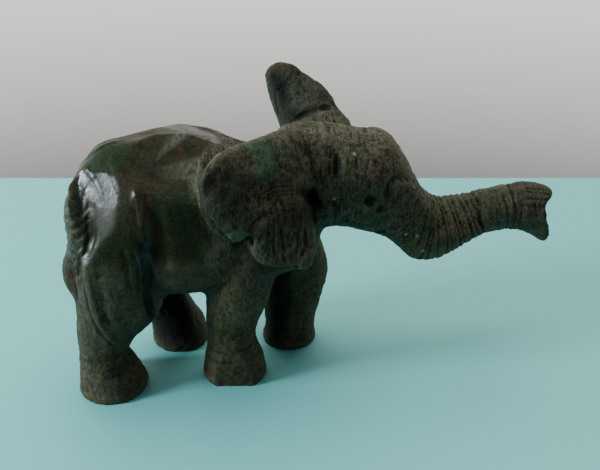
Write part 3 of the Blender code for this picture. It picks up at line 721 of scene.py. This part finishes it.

# Dust lies in the rasp marks, thinner on the trunk's end and the feet. It lies thickest on the face as
# painted light, and thinner on the left ear and the right ear's rim as painted shade
x, y, z = points.T
feet = share_between(-z, -30, -22)
left_ear = share_between(y, 15, 19) * share_between(x, -16, -10) * share_between(z, 62, 70)
face = share_between(x, -2, 4) * (1 - left_ear)
ear_rim = near_line(points, [(-30, -19, 87), (-35.2, -25.5, 82.2), (-37, -27.6, 77.6), (-36, -28, 71.5),
                             (-32, -27.8, 66), (-28, -27.4, 60)], 3.5)
# Painted light on the face and painted shade on the left ear, through more and less dust
dust_with_painted_light = 0.8 + 0.4 * face - 0.5 * left_ear - 0.75 * share_between(x, 64, 70)
for more, middle, reach in ((0.5, (-29, -20, 30), (12, 9, 24)), (0.85, (41, -6, 49), (15, 10, 12)),
                            (0.8, (28, -8, 74), (10, 10, 10)), (0.8, (-77, -15, 60), (6, 7, 14)),
                            (0.5, (8, -14, 58), (8, 6, 6))):
    dust_with_painted_light += more * near_to(points, middle, reach)
# Painted shade on the right ear's rim, through less dust
worn_and_painted_shade = (1 - 0.25 * feet) * (1 - 0.75 * share_between(ear_rim, 0, 0.6))
store(elephant, "dust_and_painted_light", roughened(points) * worn_and_painted_shade * dust_with_painted_light)
store(elephant, "strokes", roughened(points) * (1 - feet))
store(elephant, "earthy", share_between(-z, -56, -44) * share_between(-y, -18, -12))

# The polish is duller on the left of the back, on the rump and between the hind legs
left_of_back = share_between(y, -2, 0.5) * share_between(-x, 46, 50) * share_between(z, 74, 79)
store(elephant, "dull", left_of_back + 0.25 * near_to(points, (-65, -16, 69), (9, 10, 13))
      + near_to(points, (-51, 3, 25), (15, 10, 22)))

stone.use_nodes = True
shade = stone.node_tree
principled = shade.nodes["Principled BSDF"]
coordinates = node(shade, "ShaderNodeTexCoord").outputs["Object"]


def mask(name):
    return node(shade, "ShaderNodeAttribute", {"attribute_name": name}).outputs["Fac"]


def clouds(scale, detail=4.0, stretch=(1, 1, 1), turn=(0, 0, 0), rough=0.5, twist=0.0):
    """Noise over the stone, stretched and turned with the carving."""
    placed = node(shade, "ShaderNodeMapping", Vector=coordinates, Rotation=turn, Scale=stretch).outputs[0]
    return node(shade, "ShaderNodeTexNoise", Vector=placed, Scale=scale, Detail=detail, Roughness=rough,
                Distortion=twist).outputs[0]


def ramp(value, low, high, start=0.0, end=1.0):
    made = node(shade, "ShaderNodeMapRange", {"interpolation_type": "SMOOTHSTEP"}, Value=value)
    for label, number in (("From Min", low), ("From Max", high), ("To Min", start), ("To Max", end)):
        made.inputs[label].default_value = number
    return made.outputs[0]


def tinted(base, colour, amount):
    made = node(shade, "ShaderNodeMix", {"data_type": "RGBA"})
    shade.links.new(amount, made.inputs["Factor"])
    for socket, value in zip(made.inputs[6:8], (base, colour)):
        if isinstance(value, bpy.types.NodeSocket):
            shade.links.new(value, socket)
        else:
            socket.default_value = (*value, 1)
    return made.outputs[2]


def times(*values):
    total = values[0]
    for value in values[1:]:
        total = maths(shade, "MULTIPLY", total, value)
    return total


OLIVE = (0.022, 0.023, 0.010)
BROWN = (0.030, 0.023, 0.012)
DARK = (0.004, 0.005, 0.003)
GREEN = (0.009, 0.022, 0.006)
TEAL = (0.011, 0.034, 0.017)
BRIGHT_GREEN = (0.022, 0.090, 0.055)
PALE = (0.095, 0.115, 0.080)
RUST = (0.060, 0.028, 0.010)
DUST = (0.108, 0.095, 0.062)
MOSS = (0.060, 0.076, 0.038)
EARTH = (0.105, 0.090, 0.036)
SHADE_BLACK = (0.0020, 0.0014, 0.0010)
CHIP = (0.30, 0.31, 0.27)

rasped, strokes, dust_and_painted_light = mask("rasped"), mask("strokes"), mask("dust_and_painted_light")
hollow_for_painted_shade, green_mask, vein_and_painted_light_mask = mask("hollow"), mask("green"), mask("vein_and_painted_light")
broad = clouds(45, twist=0.5)
spots = clouds(130, 5, stretch=(1, 1, 0.7), rough=0.6, twist=0.7)
veils = clouds(300, stretch=(1, 1, 0.7), rough=0.65, turn=(0.2, 0.3, 0))
grains = clouds(1300, stretch=(1, 1, 0.8), rough=0.8)
specks = clouds(1700, 2, rough=0.7)
streaks = clouds(1.0, 3, stretch=(1700, 560, 420), rough=0.65)
turned_streaks = clouds(1.0, 3, stretch=(1200, 400, 400), turn=(0.0, 0.6, 0.2))
dust = tinted(DUST, MOSS, ramp(clouds(95, 3, twist=0.5), 0.46, 0.58))
dust = tinted(dust, EARTH, times(mask("earthy"), ramp(spots, 0.40, 0.54, 0.4, 1.0)))
clear_of_dust_and_painted_light = maths(shade, "SUBTRACT", 1.0, dust_and_painted_light)

# From the stone itself to the dust, the painted light and shade, and the chips that lie over it
colour = tinted(OLIVE, BROWN, ramp(broad, 0.42, 0.60))
colour = tinted(colour, GREEN, times(ramp(green_mask, 0.0, 0.4), ramp(spots, 0.34, 0.50)))
colour = tinted(colour, GREEN, ramp(spots, 0.54, 0.66, 0.0, 0.7))
colour = tinted(colour, TEAL, times(ramp(green_mask, 0.2, 0.9), ramp(spots, 0.48, 0.64)))
# Dust, with the painted light and shade that its mask carries
colour = tinted(colour, dust, times(dust_and_painted_light, ramp(veils, 0.36, 0.62, 0.15, 0.8),
                                    ramp(grains, 0.40, 0.62, 0.15, 1.0)))
colour = tinted(colour, DARK, ramp(veils, 0.36, 0.50, 0.6, 0.0))
colour = tinted(colour, DARK, ramp(grains, 0.38, 0.52, 0.6, 0.0))
colour = tinted(colour, DARK, times(strokes, ramp(streaks, 0.34, 0.48, 0.75, 0.0)))
colour = tinted(colour, dust, times(strokes, dust_and_painted_light, ramp(streaks, 0.54, 0.65, 0.0, 0.85)))
# Brighter green, and painted light on the right ear's wedge
colour = tinted(colour, BRIGHT_GREEN, times(mask("brighter_green_and_painted_light"), ramp(grains, 0.36, 0.60, 0.35, 1.0)))
colour = tinted(colour, RUST, times(mask("rust"), ramp(veils, 0.42, 0.58)))
colour = tinted(colour, MOSS, times(ramp(grains, 0.50, 0.66, 0.0, 0.22), clear_of_dust_and_painted_light))
# Pale veins, and painted light on the right ear's wedge
colour = tinted(colour, PALE, times(vein_and_painted_light_mask, ramp(turned_streaks, 0.3, 0.6, 0.2, 0.72)))
# Painted shade: the hollows darkened, most on the rasped parts and least on the pale vein and the ear's
# wedge
colour = tinted(colour, DARK, times(ramp(hollow_for_painted_shade, 0.25, 1.0), ramp(rasped, 0.0, 0.4, 0.2, 0.65),
                                    ramp(vein_and_painted_light_mask, 0.0, 1.0, 1.0, 0.3)))
colour = tinted(colour, dust, times(mask("edge"), dust_and_painted_light, ramp(specks, 0.4, 0.6, 0.1, 0.8)))
# Painted glints: pale specks on the dusty parts, standing in for tiny highlights
colour = tinted(colour, PALE, times(dust_and_painted_light, ramp(specks, 0.62, 0.72, 0.0, 0.5)))
# Painted shade: creases, pocket, eyes, the far legs' insides and the near flat of the back go near black
colour = tinted(colour, SHADE_BLACK, ramp(mask("painted_shade"), 0.0, 1.0, 0.0, 0.95))
colour = tinted(colour, CHIP, mask("chips"))
shade.links.new(colour, principled.inputs["Base Color"])

# Waxed and polished to matt, and how much duller the polish is where hands and cloth don't reach
POLISHED, MATT, DULLER = 0.27, 0.68, 0.35
WAX_GLOSS = 0.27
shine = ramp(rasped, 0.0, 1.0, POLISHED, MATT)
shine = maths(shade, "ADD", shine, times(mask("dull"), DULLER))
shine = maths(shade, "ADD", shine, ramp(spots, 0.3, 0.7, -0.03, 0.08))
shine = maths(shade, "ADD", shine, ramp(grains, 0.35, 0.65, 0.06, -0.04))
shade.links.new(shine, principled.inputs["Roughness"])
principled.inputs["Specular IOR Level"].default_value = WAX_GLOSS

# The grain between the file marks, and the slight unevenness that rubbing leaves in the polish
height = maths(shade, "ADD", times(streaks, strokes, 0.5), times(grains, 0.9))
height = maths(shade, "ADD", height, times(specks, 0.5))
tooth_bump = node(shade, "ShaderNodeBump", Height=times(height, rasped), Distance=0.0005, Strength=0.9)
rubbing = maths(shade, "ADD", clouds(170, 3, stretch=(1, 1, 0.6)),
                times(clouds(900, 3, stretch=(1, 1, 0.5)), 0.16))
haze = node(shade, "ShaderNodeBump", Height=rubbing, Distance=0.0007, Strength=0.5,
            Normal=tooth_bump.outputs["Normal"])
shade.links.new(haze.outputs["Normal"], principled.inputs["Normal"])

elephant.data.materials.clear()
elephant.data.materials.append(stone)
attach(elephant, "root")
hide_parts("elephant")


# A plain turquoise table top, narrow as a sill, with a plain pale wall a long way behind it. The light
# comes softly over the wall and down from the ceiling, with a window at the left, and the room in front
# is dim.

VIEW_TURN = math.radians(7.0)
VIEW_DROP = math.radians(27.5)


def in_room(right, away, up):
    """A place in metres, counted from under the carving, as the camera faces."""
    return (right * math.cos(VIEW_TURN) + away * math.sin(VIEW_TURN),
            away * math.cos(VIEW_TURN) - right * math.sin(VIEW_TURN), up)


TABLE_FRONT, TABLE_BACK = -0.09, 0.1525
mesh = bpy.data.meshes.new("table")
corners = [in_room(-1.2, TABLE_FRONT, 0), in_room(1.2, TABLE_FRONT, 0),
           in_room(1.2, TABLE_BACK, 0), in_room(-1.2, TABLE_BACK, 0)]
mesh.from_pydata(corners, [], [(0, 1, 2, 3)])
table = new_thing("table", mesh)
paint = bpy.data.materials.new("table paint")
paint.use_nodes = True
surface = paint.node_tree.nodes["Principled BSDF"]
surface.inputs["Base Color"].default_value = (0.138, 0.455, 0.445, 1)
surface.inputs["Roughness"].default_value = 0.6
mesh.materials.append(paint)

# The room as it lights and shines on the carving, and a plain pale wall where the camera sees it
world = bpy.data.worlds.new("room")
bpy.context.scene.world = world
world.use_nodes = True
shade = world.node_tree
looking = node(shade, "ShaderNodeTexCoord").outputs["Generated"]
facing = node(shade, "ShaderNodeSeparateXYZ", Vector=looking)
behind = ramp(facing.outputs["Y"], -0.4, 0.8, 0.105, 1.3)
above = ramp(facing.outputs["Z"], 0.4, 0.95)
lit = maths(shade, "ADD", times(behind, maths(shade, "SUBTRACT", 1.0, above)), times(above, 0.34))
lit = maths(shade, "ADD", lit, ramp(facing.outputs["X"], 0.2, 0.9, 0.0, 0.2))
wall = maths(shade, "MINIMUM", times(maths(shade, "ADD", facing.outputs["Z"], 0.478), 4.1), 1.2)
wall = maths(shade, "MAXIMUM", wall, 0.3)
seen = node(shade, "ShaderNodeLightPath").outputs["Is Camera Ray"]
strength = maths(shade, "ADD", times(wall, seen), times(lit, maths(shade, "SUBTRACT", 1.0, seen)))
background = shade.nodes["Background"]
background.inputs["Color"].default_value = (1.0, 0.985, 0.955, 1)
shade.links.new(strength, background.inputs["Strength"])

LIT_PLACE = (-0.02, 0, 0.05)


def window(name, direction, distance, width, height, power, colour=(0.83, 0.96, 1.05)):
    """A lit rectangle at a distance from the carving, facing it."""
    lamp = bpy.data.lights.new(name, "AREA")
    lamp.shape = "RECTANGLE"
    lamp.size, lamp.size_y = width, height
    lamp.energy = power
    lamp.color = colour
    thing = new_thing(name, lamp)
    direction = Vector(direction).normalized()
    thing.location = Vector(LIT_PLACE) + direction * distance
    thing.rotation_euler = direction.to_track_quat("Z", "Y").to_euler()
    return thing


window("window", (-0.909, -0.144, 0.391), distance=0.9, width=0.2, height=0.17, power=11.0)
window("wall beside it", (-0.87, -0.40, 0.28), distance=0.9, width=0.5, height=0.42, power=1.7)
skylight = window("skylight", (0.05, 0.40, 1.0), distance=1.5, width=1.6, height=1.4, power=28.0,
                  colour=(1.0, 0.98, 0.93))
skylight.visible_glossy = False


# The camera stands where the photograph was taken: a little behind the shoulder, looking down.

camera = bpy.data.cameras.new("camera")
camera.lens, camera.sensor_width = 50, 36
camera.clip_start = 0.01
viewer = new_thing("camera", camera)
viewer.location = (-0.03514, -0.25184, 0.1776)
viewer.rotation_euler = (math.pi / 2 - VIEW_DROP, 0, -VIEW_TURN)
bpy.context.scene.camera = viewer
